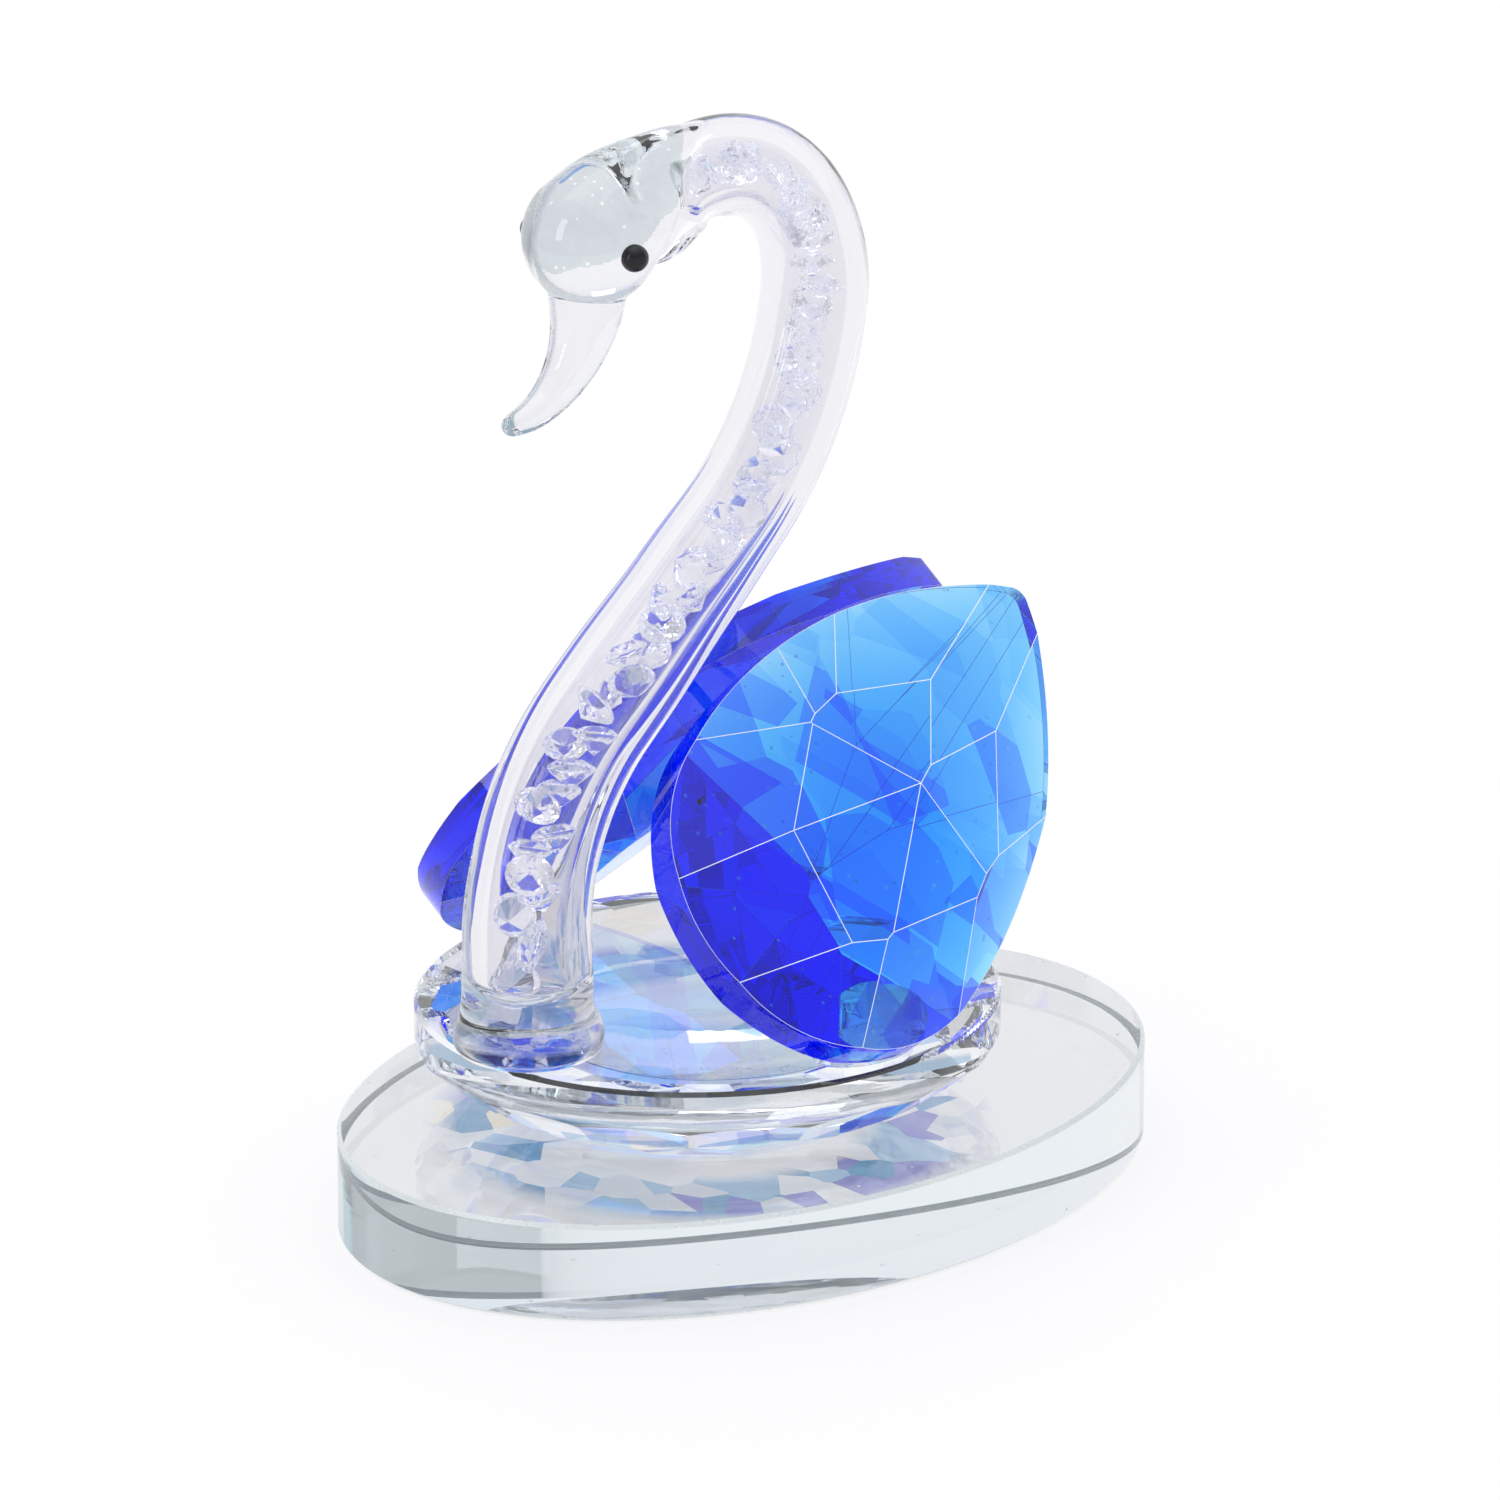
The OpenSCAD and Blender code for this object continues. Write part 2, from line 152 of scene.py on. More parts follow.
def bump(tree, shader, height, strength, distance):
    node = tree.nodes.new("ShaderNodeBump")
    node.inputs["Strength"].default_value = strength
    node.inputs["Distance"].default_value = distance
    tree.links.new(height, node.inputs["Height"])
    tree.links.new(node.outputs["Normal"], shader.inputs["Normal"])


# ---------------------------------------------------------------- materials
NECK_CLEAR = (0.885, 0.875, 0.905, 1.0)
PLATE_CLEAR = (0.865, 0.87, 0.89, 1.0)
BODY_CLEAR = (0.93, 0.925, 0.945, 1.0)

# Painted refraction and reflection: patches of tone that cut glass throws from facet to facet, as (share
# from, colour), and where they lie. The ring is in the plate, where its patches are a painted reflection.
WING_PAINTED_LIGHT = (
    (0.0, (1.0, 1.0, 1.0)), (0.22, (0.66, 0.9, 1.0)), (0.34, (0.95, 1.0, 1.0)),
    (0.46, (0.5, 0.78, 1.0)), (0.56, (0.14, 0.34, 1.0)), (0.68, (0.7, 1.0, 0.98)),
    (0.76, (0.10, 0.16, 0.95)), (0.88, (0.3, 0.3, 1.0)),
)
# Along this run the wings' painted shade deepens towards the round end.
WING_RUN = (0.65, 0.0, 0.75)
WING_ROUND_END = 16 * MM
WING_CLEAR_FROM = 52 * MM
# Painted reflection on the crystal's faceted underside.
BODY_PAINTED_REFLECTION = (
    (0.0, (1.0, 1.0, 1.0)), (0.66, (0.50, 0.74, 0.84)), (0.74, (0.94, 0.96, 1.0)),
    (0.84, (0.52, 0.54, 0.88)), (0.90, (0.26, 0.46, 0.68)), (0.95, (1.0, 0.92, 0.76)),
)
# Painted reflection of the crystal's facets in the plate's underside.
PLATE_PAINTED_REFLECTION = (
    (0.0, (1.0, 1.0, 1.0)), (0.14, (0.10, 0.26, 0.52)), (0.32, (0.72, 0.78, 0.86)),
    (0.44, (0.16, 0.16, 0.60)), (0.58, (0.26, 0.48, 0.78)), (0.74, (1.0, 0.84, 0.56)),
    (0.80, (0.95, 0.97, 1.0)), (0.88, (0.05, 0.20, 0.46)),
)
# Where the plate's painted reflection fades in and out, as distances from the crystal's axis.
PAINTED_REFLECTION_RING = (16 * MM, 19 * MM, 27 * MM, 31 * MM)


def painted_facet_light(tree, vector, base, scale, tones, push=None):
    """Painted refraction and reflection: straight-edged patches of tone, standing in for the light that
    cut glass throws from facet to facet.
    tones is (share, colour) in order; push moves the choice along them."""
    warp = tree.nodes.new("ShaderNodeMapping")
    warp.inputs["Rotation"].default_value = (0.5, 0.3, 0.2)
    warp.inputs["Scale"].default_value = (1.0, 0.8, 0.62)
    tree.links.new(vector, warp.inputs["Vector"])
    cells = tree.nodes.new("ShaderNodeTexVoronoi")
    cells.inputs["Scale"].default_value = scale
    tree.links.new(warp.outputs["Vector"], cells.inputs["Vector"])
    split = tree.nodes.new("ShaderNodeSeparateColor")
    tree.links.new(cells.outputs["Color"], split.inputs["Color"])
    choice = split.outputs["Green"]
    if push:
        moved = tree.nodes.new("ShaderNodeMath")
        moved.operation = "MULTIPLY_ADD"
        moved.inputs[1].default_value = 0.62
        tree.links.new(choice, moved.inputs[0])
        tree.links.new(push, moved.inputs[2])
        choice = moved.outputs["Value"]
    ramp = tree.nodes.new("ShaderNodeValToRGB")
    ramp.color_ramp.interpolation = "CONSTANT"
    while len(ramp.color_ramp.elements) < len(tones):
        ramp.color_ramp.elements.new(0.5)
    for element, (place, colour) in zip(ramp.color_ramp.elements, tones):
        element.position = place
        element.color = colour + (1.0,)
    tree.links.new(choice, ramp.inputs["Fac"])
    tinted = tree.nodes.new("ShaderNodeMix")
    tinted.data_type = "RGBA"
    tinted.blend_type = "MULTIPLY"
    tinted.inputs["Factor"].default_value = 1.0
    tree.links.new(base, tinted.inputs[6])
    tree.links.new(ramp.outputs["Color"], tinted.inputs[7])
    return tinted.outputs[2]


def along(tree, vector, direction):
    """Distance of a point along a direction, in metres."""
    node = tree.nodes.new("ShaderNodeVectorMath")
    node.operation = "DOT_PRODUCT"
    node.inputs[1].default_value = direction
    tree.links.new(vector, node.inputs[0])
    return node.outputs["Value"]


def wing_painted_light(tree, vector, base):
    """Painted refraction and shade: deeper blues towards the wing's round end, clear azure towards its
    tip.
    """
    push = remap(tree, along(tree, vector, WING_RUN), WING_ROUND_END, WING_CLEAR_FROM, 0.42, 0.0)
    return painted_facet_light(tree, vector, base, 120.0, WING_PAINTED_LIGHT, push)


def body_painted_reflection(tree, vector, base):
    """Painted reflection: tones on the faceted underside only."""
    tinted = painted_facet_light(tree, vector, base, 190.0, BODY_PAINTED_REFLECTION)
    height = along(tree, vector, UP)
    return mix_colour(tree, remap(tree, height, PAINTED_REFLECTION_TOP, PAINTED_REFLECTION_TOP + 0.3 * MM, 0.0, 1.0), tinted, base)


def plate_painted_reflection(tree, vector, base):
    """A painted reflection of the crystal's facets in the plate's underside, in a ring round its foot."""
    tinted = painted_facet_light(tree, vector, base, 230.0, PLATE_PAINTED_REFLECTION)
    offset = tree.nodes.new("ShaderNodeVectorMath")
    offset.operation = "DISTANCE"
    offset.inputs[1].default_value = (BODY_X * MM, 0.0, 0.0)
    tree.links.new(vector, offset.inputs[0])
    away = offset.outputs["Value"]
    amount = remap(tree, away, PAINTED_REFLECTION_RING[0], PAINTED_REFLECTION_RING[1], 0.0, 1.0)
    outer = remap(tree, away, PAINTED_REFLECTION_RING[2], PAINTED_REFLECTION_RING[3], 1.0, 0.0)
    low = remap(tree, along(tree, vector, UP), 1.0 * MM, 1.3 * MM, 1.0, 0.0)
    for part in (outer, low):
        both = tree.nodes.new("ShaderNodeMath")
        both.operation = "MULTIPLY"
        tree.links.new(amount, both.inputs[0])
        tree.links.new(part, both.inputs[1])
        amount = both.outputs["Value"]
    return mix_colour(tree, amount, base, tinted)


def glass(name, tint, absorb, density, ior=1.52, wave=0.0, wave_scale=60.0, specks=0.0, speck_scale=420.0,
          painted_light_fn=None):
    """Solid glass: faintly wavy surface, sparse specks, colour that deepens with the path inside."""
    mat, tree, shader, out = new_material(name)
    vector = object_coords(tree)
    shader.inputs["Transmission Weight"].default_value = 1.0
    shader.inputs["IOR"].default_value = ior
    cloud = noise_value(tree, vector, wave_scale * 0.5, 2.0)
    edge = tuple(min(1.0, c * 0.985) for c in tint[:3]) + (1.0,)
    base = mix_colour(tree, cloud, tint, edge)
    # painted_light_fn, where given, paints patches of reflection, refraction and shade into the base
    # colour.
    if painted_light_fn:
        base = painted_light_fn(tree, vector, base)
    rough = remap(tree, noise_value(tree, vector, 160.0, 3.0), 0.45, 0.8, 0.0, 0.015)
    if specks > 0:
        dots = speck_value(tree, vector, speck_scale, specks)
        base = mix_colour(tree, dots, base, (0.72, 0.76, 0.8, 1.0))
        add = tree.nodes.new("ShaderNodeMath")
        add.operation = "MULTIPLY_ADD"
        add.inputs[1].default_value = 0.45
        tree.links.new(dots, add.inputs[0])
        tree.links.new(rough, add.inputs[2])
        rough = add.outputs["Value"]
    tree.links.new(base, shader.inputs["Base Color"])
    tree.links.new(rough, shader.inputs["Roughness"])
    if wave > 0:
        bump(tree, shader, noise_value(tree, vector, wave_scale, 1.5), 1.0, wave * MM)
    if density > 0:
        volume = tree.nodes.new("ShaderNodeVolumeAbsorption")
        volume.inputs["Color"].default_value = absorb
        volume.inputs["Density"].default_value = density
        tree.links.new(volume.outputs["Volume"], out.inputs["Volume"])
    return mat


def edge_line(name, colour, rough):
    """The narrow ground arris along a polished edge, which scatters light."""
    mat, tree, shader, out = new_material(name)
    vector = object_coords(tree)
    grain = noise_value(tree, vector, 900.0, 4.0)
    shade = mix_colour(tree, grain, colour, tuple(c * 0.88 for c in colour[:3]) + (1.0,))
    tree.links.new(shade, shader.inputs["Base Color"])
    tree.links.new(remap(tree, grain, 0.3, 0.7, rough * 0.7, rough), shader.inputs["Roughness"])
    shader.inputs["Transmission Weight"].default_value = 0.15
    shader.inputs["IOR"].default_value = 1.5
    return mat


def head_material():
    """Clear glass with a grey-blue layer over the crown, cloudy streaks and small bubbles."""
    mat, tree, shader, out = new_material("head_glass")
    vector = object_coords(tree)
    shader.inputs["Transmission Weight"].default_value = 1.0
    shader.inputs["IOR"].default_value = 1.5
    streak = noise_value(tree, vector, 260.0, 4.0, 0.6, 1.2)
    crown = mix_colour(tree, streak, (0.38, 0.45, 0.49, 1.0), (0.60, 0.67, 0.70, 1.0))
    dots = speck_value(tree, vector, 800.0, 0.2)
    spotted = mix_colour(tree, dots, crown, (0.95, 0.97, 0.98, 1.0))
    tree.links.new(spotted, shader.inputs["Base Color"])
    tree.links.new(remap(tree, streak, 0.3, 0.8, 0.0, 0.02), shader.inputs["Roughness"])
    bump(tree, shader, noise_value(tree, vector, 200.0, 2.0, 0.5, 1.2), 1.0, 0.05 * MM)
    return mat


def stone_material():
    """Cut crystal; its faint emission stands for light lost to the limit on bounces."""
    mat, tree, shader, out = new_material("stone_crystal")
    vector = object_coords(tree)
    cloud = noise_value(tree, vector, 500.0, 2.0)
    shade = mix_colour(tree, cloud, (0.97, 0.975, 0.99, 1.0), (0.88, 0.90, 0.96, 1.0))
    tree.links.new(shade, shader.inputs["Base Color"])
    shader.inputs["Transmission Weight"].default_value = 1.0
    shader.inputs["IOR"].default_value = 1.7
    shader.inputs["Emission Color"].default_value = (0.97, 0.97, 1.0, 1.0)
    shader.inputs["Emission Strength"].default_value = 0.02
    tree.links.new(remap(tree, cloud, 0.4, 0.8, 0.0, 0.02), shader.inputs["Roughness"])
    return mat


def eye_material():
    mat, tree, shader, out = new_material("eye_black")
    vector = object_coords(tree)
    grain = noise_value(tree, vector, 700.0, 3.0)
    shade = mix_colour(tree, grain, (0.006, 0.006, 0.007, 1.0), (0.02, 0.02, 0.023, 1.0))
    tree.links.new(shade, shader.inputs["Base Color"])
    tree.links.new(remap(tree, grain, 0.3, 0.7, 0.03, 0.09), shader.inputs["Roughness"])
    shader.inputs["IOR"].default_value = 1.33
    return mat


def floor_material():
    """A pale lit table, the usual ground for glass."""
    mat, tree, shader, out = new_material("floor")
    vector = object_coords(tree)
    grain = noise_value(tree, vector, 3.0, 2.0)
    shade = mix_colour(tree, grain, (0.17, 0.17, 0.17, 1.0), (0.19, 0.19, 0.19, 1.0))
    tree.links.new(shade, shader.inputs["Base Color"])
    shader.inputs["Roughness"].default_value = 0.9
    shader.inputs["Specular IOR Level"].default_value = 0.1
    shader.inputs["Emission Color"].default_value = (0.985, 0.985, 1.0, 1.0)
    shader.inputs["Emission Strength"].default_value = 0.80
    return mat


# ---------------------------------------------------------------- mesh helpers
def finish_mesh(name, bm, materials, sharp_angle=None, flat=False, curved=None, keep_normals=False):
    """Makes an object from a bmesh; edges sharper than the angle stay sharp.
    curved picks the faces that are shaded smooth; by default all are, or none when flat."""
    if not keep_normals:
        bmesh.ops.recalc_face_normals(bm, faces=bm.faces)
    bm.normal_update()
    for face in bm.faces:
        face.smooth = curved(face) if curved else not flat
    if sharp_angle is not None:
        limit = math.radians(sharp_angle)
        for edge in bm.edges:
            if len(edge.link_faces) == 2:
                edge.smooth = edge.calc_face_angle(0.0) < limit
    mesh = bpy.data.meshes.new(name)
    bm.to_mesh(mesh)
    bm.free()
    for mat in materials:
        mesh.materials.append(mat)
    obj = bpy.data.objects.new(name, mesh)
    bpy.context.scene.collection.objects.link(obj)
    return obj


def add_piece(obj, slot_name, *nodes):
    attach(obj, "root")
    if nodes:
        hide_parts(*nodes)
    return obj


def prism(outline, z0, z1):
    """A closed upright prism on an outline of (x, y) points."""
    bm = bmesh.new()
    low = [bm.verts.new((x, y, z0)) for x, y in outline]
    high = [bm.verts.new((x, y, z1)) for x, y in outline]
    count = len(outline)
    for i in range(count):
        j = (i + 1) % count
        bm.faces.new((low[i], low[j], high[j], high[i]))
    bm.faces.new(list(reversed(low)))
    bm.faces.new(high)
    return bm


def cut(bm, point, normal):
    """Removes what lies beyond a plane and closes the hole."""
    geom = list(bm.verts) + list(bm.edges) + list(bm.faces)
    result = bmesh.ops.bisect_plane(
        bm, geom=geom, dist=1e-7, plane_co=point, plane_no=normal, clear_outer=True
    )
    edges = [e for e in result["geom_cut"] if isinstance(e, bmesh.types.BMEdge)]
    if edges:
        bmesh.ops.contextual_create(bm, geom=edges)


def bevel_edges(bm, edges, width, material_index):
    bmesh.ops.bevel(
        bm, geom=edges, offset=width, offset_type="OFFSET", segments=1,
        profile=0.5, affect="EDGES", clamp_overlap=True, material=material_index,
    )


def line_faces(bm, faces, width):
    """Marks a narrow strip along every edge of the faces for material 1."""
    strips = bmesh.ops.inset_individual(bm, faces=faces, thickness=width, depth=0, use_even_offset=True)
    for face in strips["faces"]:
        face.material_index = 1


def arc_points(centre, radius, start, end, count):
    """Points along an arc from start to end in degrees, the last one left out."""
    points = []
    for i in range(count):
        t = math.radians(start + (end - start) * i / count)
        points.append((centre[0] + radius * math.cos(t), centre[1] + radius * math.sin(t)))
    return points


# ---------------------------------------------------------------- wings
PEAR_R = 20.4
PEAR_REACH = 46.9
PEAR_SIDE = 58.0
PEAR_TIP = 1.8
WING_BAND = 3.7
WING_CROWN = 5.4
WING_PEAK = (12.4, -1.3)
WING_AT = (-6.3, -19.7, 41.4)
WING_TOE = -2.2
WING_LEAN = 52.6
WING_RISE = 29.6
# Facets of the wing's front as (azimuth, slope, lift above the peak) and of its back as
# (azimuth, slope, reach from the axis).
WING_FACETS = (
    (130, 8.7, 0), (152, 8.1, 0), (253, 7.9, 0), (304, 10.4, 0), (60.5, 10.2, 0), (1, 9.2, 0.2),
    (57.5, 17, 1.5), (303, 19.1, 1.8), (276.5, 36, 6.8), (247.5, 20.7, 3.2), (199, 15.9, 3.6),
    (152.5, 10.6, 0.75), (125, 12, 0.8), (80.5, 22.2, 3.3), (71, 20.6, 2.6),
)
WING_BACK = 5.8
BACK_FACETS = (
    (8, 7.4, 45.9), (29, 8.8, 40.8), (47, 11.8, 32.3), (76, 15, 22.2), (118, 15.5, 20.4),
    (158, 16, 20.4), (196, 16.5, 20.4), (238, 19, 20.4), (284, 15, 22.2), (311, 11.4, 31.6),
    (334, 8.2, 41.8),
)
GLUED_FACET = BACK_FACETS[7]


def pear_outline():
    cx = (PEAR_REACH**2 + PEAR_R**2 - 2 * PEAR_SIDE * PEAR_R) / (2 * PEAR_REACH)
    cy = math.sqrt((PEAR_SIDE - PEAR_R) ** 2 - cx**2)
    tip_x = cx + math.sqrt((PEAR_SIDE - PEAR_TIP) ** 2 - cy**2)
    blunt = math.degrees(math.atan2(cy, -cx))
    tip = math.degrees(math.atan2(cy, tip_x - cx))
    points = arc_points((0, 0), PEAR_R, blunt, 360 - blunt, 88)
    points += arc_points((cx, cy), PEAR_SIDE, -blunt, -tip, 44)
    points += arc_points((tip_x, 0), PEAR_TIP, -tip, tip, 10)
    points += arc_points((cx, -cy), PEAR_SIDE, tip, blunt, 44)
    return [(x * MM, y * MM) for x, y in points]


def wing_place():
    turn = (
        Matrix.Rotation(math.radians(WING_TOE), 4, "Z")
        @ Matrix.Rotation(math.radians(WING_LEAN), 4, "X")
        @ Matrix.Rotation(math.radians(WING_RISE), 4, "Z")
    )
    return Matrix.Translation(Vector(WING_AT) * MM) @ turn


def back_plane(azimuth, slope, reach):
    """A point on a facet of the wing's back, in metres, and the way it faces, in the wing's own frame."""
    a = math.radians(azimuth)
    s = math.radians(slope)
    point = Vector((reach * math.cos(a), reach * math.sin(a), -WING_BAND)) * MM
    return point, Vector((math.sin(s) * math.cos(a), math.sin(s) * math.sin(a), -math.cos(s)))


def make_wing(name, node, mirrored, materials):
    bm = prism(pear_outline(), (-WING_BAND - WING_BACK) * MM, (WING_CROWN + 0.1) * MM)
    for facet in BACK_FACETS:
        point, normal = back_plane(*facet)
        cut(bm, point, normal)
    for azimuth, slope, lift in WING_FACETS:
        a = math.radians(azimuth)
        s = math.radians(slope)
        normal = Vector((math.sin(s) * math.cos(a), math.sin(s) * math.sin(a), math.cos(s)))
        point = Vector((WING_PEAK[0], WING_PEAK[1], WING_CROWN + lift)) * MM
        cut(bm, point, normal)
    bmesh.ops.remove_doubles(bm, verts=bm.verts, dist=2e-6)
    bmesh.ops.dissolve_degenerate(bm, edges=bm.edges, dist=1e-6)
    bm.normal_update()
    front = [f for f in bm.faces if f.normal.z > 0.3]
    back = [f for f in bm.faces if f.normal.z < -0.3]
    line_faces(bm, front, 0.05 * MM)
    line_faces(bm, back, 0.03 * MM)
    bm.normal_update()
    side = set(f for f in bm.faces if abs(f.normal.z) < 0.2 and f.material_index == 0)
    bm.transform(wing_place())
    if mirrored:
        bm.transform(Matrix.Scale(-1, 4, (0, 1, 0)))
        bmesh.ops.reverse_faces(bm, faces=bm.faces)
    obj = finish_mesh(name, bm, materials, sharp_angle=12, curved=lambda f: f in side)
    return add_piece(obj, "wing_glass", node)


# ---------------------------------------------------------------- base and body
def oval_points(a, b, re, count):
    """Outline of two end arcs and two side arcs, all tangent, in mm."""
    c = a - re
    rs = (c * c + b * b - re * re) / (2 * (b - re))
    k = rs - b
    split = math.degrees(math.atan2(k, c))
    points = arc_points((c, 0), re, -split, split, count)
    points += arc_points((0, -k), rs, split, 180 - split, count)
    points += arc_points((-c, 0), re, 180 - split, 180 + split, count)
    points += arc_points((0, k), rs, 180 + split, 360 - split, count)
    return points


def layered(rings, materials, name, sharp=8, strip=None):
    """A closed solid skinned through rings of equal counts; strip marks ring gaps for material 1."""
    bm = bmesh.new()
    rows = [[bm.verts.new(Vector(p) * MM) for p in ring] for ring in rings]
    count = len(rings[0])
    for i in range(len(rows) - 1):
        for j in range(count):
            k = (j + 1) % count
            face = bm.faces.new((rows[i][j], rows[i][k], rows[i + 1][k], rows[i + 1][j]))
            if strip and i in strip:
                face.material_index = 1
    bm.faces.new(list(reversed(rows[0])))
    bm.faces.new(rows[-1])
    return finish_mesh(name, bm, materials, sharp_angle=sharp)


PLATE_ARRIS = 0.5


def make_base(materials):
    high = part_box("base_plate")[1]
    a = high.x / MM
    b = high.y / MM
    top = high.z / MM
    drop = PLATE_ARRIS * 0.8
    turns = [2 * math.pi * i / 320 for i in range(320)]
    rings = []
    for inset, z in ((PLATE_ARRIS, 0.0), (0.0, drop), (0.0, top - drop), (PLATE_ARRIS, top)):
        rings.append([((a - inset) * math.cos(t), (b - inset) * math.sin(t), z) for t in turns])
    obj = layered(rings, materials, "base_plate_glass", strip=(0, 2))
    return add_piece(obj, "base_glass", "base_plate")


BODY_A = 32.3
BODY_B = 30.7
BODY_END = 29.4
BODY_Z = 10.95
BODY_TOP = 22.55
PAVILION_ANGLE = 50
PAVILION_COUNT = 16
LOWER_HEIGHT = 3.6
LOWER_ANGLE = 64


def body_support(t):
    c = BODY_A - BODY_END
    rs = (c * c + BODY_B**2 - BODY_END**2) / (2 * (BODY_B - BODY_END))
    k = rs - BODY_B
    t = math.radians(t)
    if abs(math.tan(t)) < k / c:
        return c * abs(math.cos(t)) + BODY_END
    return rs - k * abs(math.sin(t))


def make_body(materials):
    outline = [((x + BODY_X) * MM, y * MM) for x, y in oval_points(BODY_A, BODY_B, BODY_END, 56)]
    bm = prism(outline, BODY_Z * MM, BODY_TOP * MM)
    upper = GIRDLE_Z - BODY_Z - LOWER_HEIGHT
    inset = upper * math.tan(math.radians(PAVILION_ANGLE))
    rows = ((0.5, GIRDLE_Z, 0.0, PAVILION_ANGLE), (0.0, GIRDLE_Z - upper, inset, LOWER_ANGLE))
    for offset, z, draw, angle in rows:
        slope = math.radians(angle)
        for i in range(PAVILION_COUNT):
            t = (i + offset) * 360 / PAVILION_COUNT
            a = math.radians(t)
            reach = body_support(t) - draw
            point = Vector((BODY_X + reach * math.cos(a), reach * math.sin(a), z)) * MM
            level = math.cos(slope)
            cut(bm, point, Vector((math.cos(a) * level, math.sin(a) * level, -math.sin(slope))))
    bmesh.ops.remove_doubles(bm, verts=bm.verts, dist=2e-6)
    bm.normal_update()
    top = [e for e in bm.edges if any(f.normal.z > 0.9 for f in e.link_faces)]
    under = [
        e for e in bm.edges
        if e not in top and len(e.link_faces) == 2 and any(f.normal.z < -0.1 for f in e.link_faces)
        and e.calc_face_angle(0.0) > math.radians(6)
    ]
    bevel_edges(bm, under, 0.06 * MM, 1)
    bevel_edges(bm, [e for e in top if e.is_valid], 0.45 * MM, 0)
    bm.normal_update()
    side = set(f for f in bm.faces if abs(f.normal.z) < 0.2 and f.material_index == 0)
    obj = finish_mesh("body_crystal_glass", bm, materials, sharp_angle=12, curved=lambda f: f in side)
    return add_piece(obj, "body_glass", "body_crystal")


# ---------------------------------------------------------------- neck
TUBE_Z = 28.3
NECK_X = -32.2
# The neck's centre line as (bend radius, turn), or (0, length) where it is straight; the tube's
# radius and the bore's share of it as (distance along, value).
NECK_RUNS = ((0, 7.2), (29.2, -49.9), (0, 25.8), (35.5, 39.7), (0, 0.8), (15.2, 134))
NECK_RADII = ((0, 7.0), (6, 6.9), (16, 6.65), (36, 6.5), (50, 6.05), (60, 5.85), (84, 5.75), (96, 5.5),
              (112, 5.4), (150, 5.4))
BORE_FLOOR = 0.3
BORE_SHARES = ((0, 0.62), (82, 0.62), (92, 0.54), (150, 0.52))


def run_step(run, s):
    """Local (forward, left, turn) after a distance s along a run, in mm and radians."""
    if run[0] == 0:
        return s, 0.0, 0.0
    t = s / run[0]
    g = math.copysign(1, run[1])
    return run[0] * math.sin(t), g * run[0] * (1 - math.cos(t)), g * t


def run_length(run):
    return run[1] if run[0] == 0 else run[0] * math.radians(abs(run[1]))


def advance(state, run, s):
    x, z, h = state
    forward, left, turn = run_step(run, s)
    return (
        x + forward * math.cos(h) - left * math.sin(h),
        z + forward * math.sin(h) + left * math.cos(h),
        h + turn,
    )


def neck_state(s):
    """(x, z, heading) on the neck's centre line, s mm above the solid foot."""
    state = (NECK_X, TUBE_Z, math.pi / 2)
    for run in NECK_RUNS[:-1]:
        length = run_length(run)
        if s <= length:
            return advance(state, run, s)
        state = advance(state, run, length)
        s -= length
    return advance(state, NECK_RUNS[-1], s)


NECK_LENGTH = sum(run_length(run) for run in NECK_RUNS)
CREST_START = sum(run_length(run) for run in NECK_RUNS[:-1])
CREST_R = NECK_RUNS[-1][0]
BORE_END = CREST_START + CREST_R * math.radians(133)


def lerp_table(table, s):
    for (s0, v0), (s1, v1) in zip(table, table[1:]):
        if s <= s1:
            t = max(0.0, (s - s0) / (s1 - s0))
            t = t * t * (3 - 2 * t)
            return v0 + (v1 - v0) * t
    return table[-1][1]


def tube_radius(s):
    return lerp_table(NECK_RADII, s)


def bore_radius(s):
    return tube_radius(s) * lerp_table(BORE_SHARES, s)


def ring_at(state, radius, count):
    """A circle of points square to the centre line at a (x, z, heading) state, in mm."""
    x, z, h = state
    side = (-math.sin(h), 0.0, math.cos(h))
    points = []
    for i in range(count):
        t = 2 * math.pi * i / count
        points.append((
            x + radius * math.cos(t) * side[0],
            radius * math.sin(t),
            z + radius * math.cos(t) * side[2],
        ))
    return points


def skin(bm, rings, flip=False, end_cap=True):
    """Skins a closed tube through rings of equal counts; flip turns it inside out."""
    rows = [[bm.verts.new(Vector(p) * MM) for p in ring] for ring in rings]
    count = len(rings[0])
    for i in range(len(rows) - 1):
        for j in range(count):
            k = (j + 1) % count
            quad = (rows[i][j], rows[i + 1][j], rows[i + 1][k], rows[i][k])
            bm.faces.new(tuple(reversed(quad)) if flip else quad)
    bm.faces.new(rows[0] if not flip else list(reversed(rows[0])))
    if end_cap:
        bm.faces.new(list(reversed(rows[-1])) if not flip else rows[-1])
    return rows


def bore_rings(count):
    """The closed bore's wall from its rounded bottom to its rounded end inside the head."""
    rings = []
    low = bore_radius(0)
    start = BORE_FLOOR + 0.6 * low
    for i in range(8):
        t = math.radians(90 * i / 8)
        state = neck_state(start - 0.6 * low * math.cos(t))
        rings.append(ring_at(state, max(low * math.sin(t), 0.05), count))
    top = bore_radius(BORE_END)
    steps = int((BORE_END - top - start) / 0.6)
    for i in range(steps + 1):
        s = start + (BORE_END - top - start) * i / steps
        rings.append(ring_at(neck_state(s), bore_radius(s), count))
    for i in range(1, 9):
        t = math.radians(88 * i / 8)
        rings.append(ring_at(neck_state(BORE_END - top + top * math.sin(t)), top * math.cos(t), count))
    return rings


FOOT_PROFILE = (
    (5.6, 22.62), (6.9, 22.66), (7.6, 22.95), (7.95, 23.6), (8.0, 24.4), (7.85, 25.3), (7.5, 26.3),
    (7.2, 27.2), (7.02, 28.1),
)


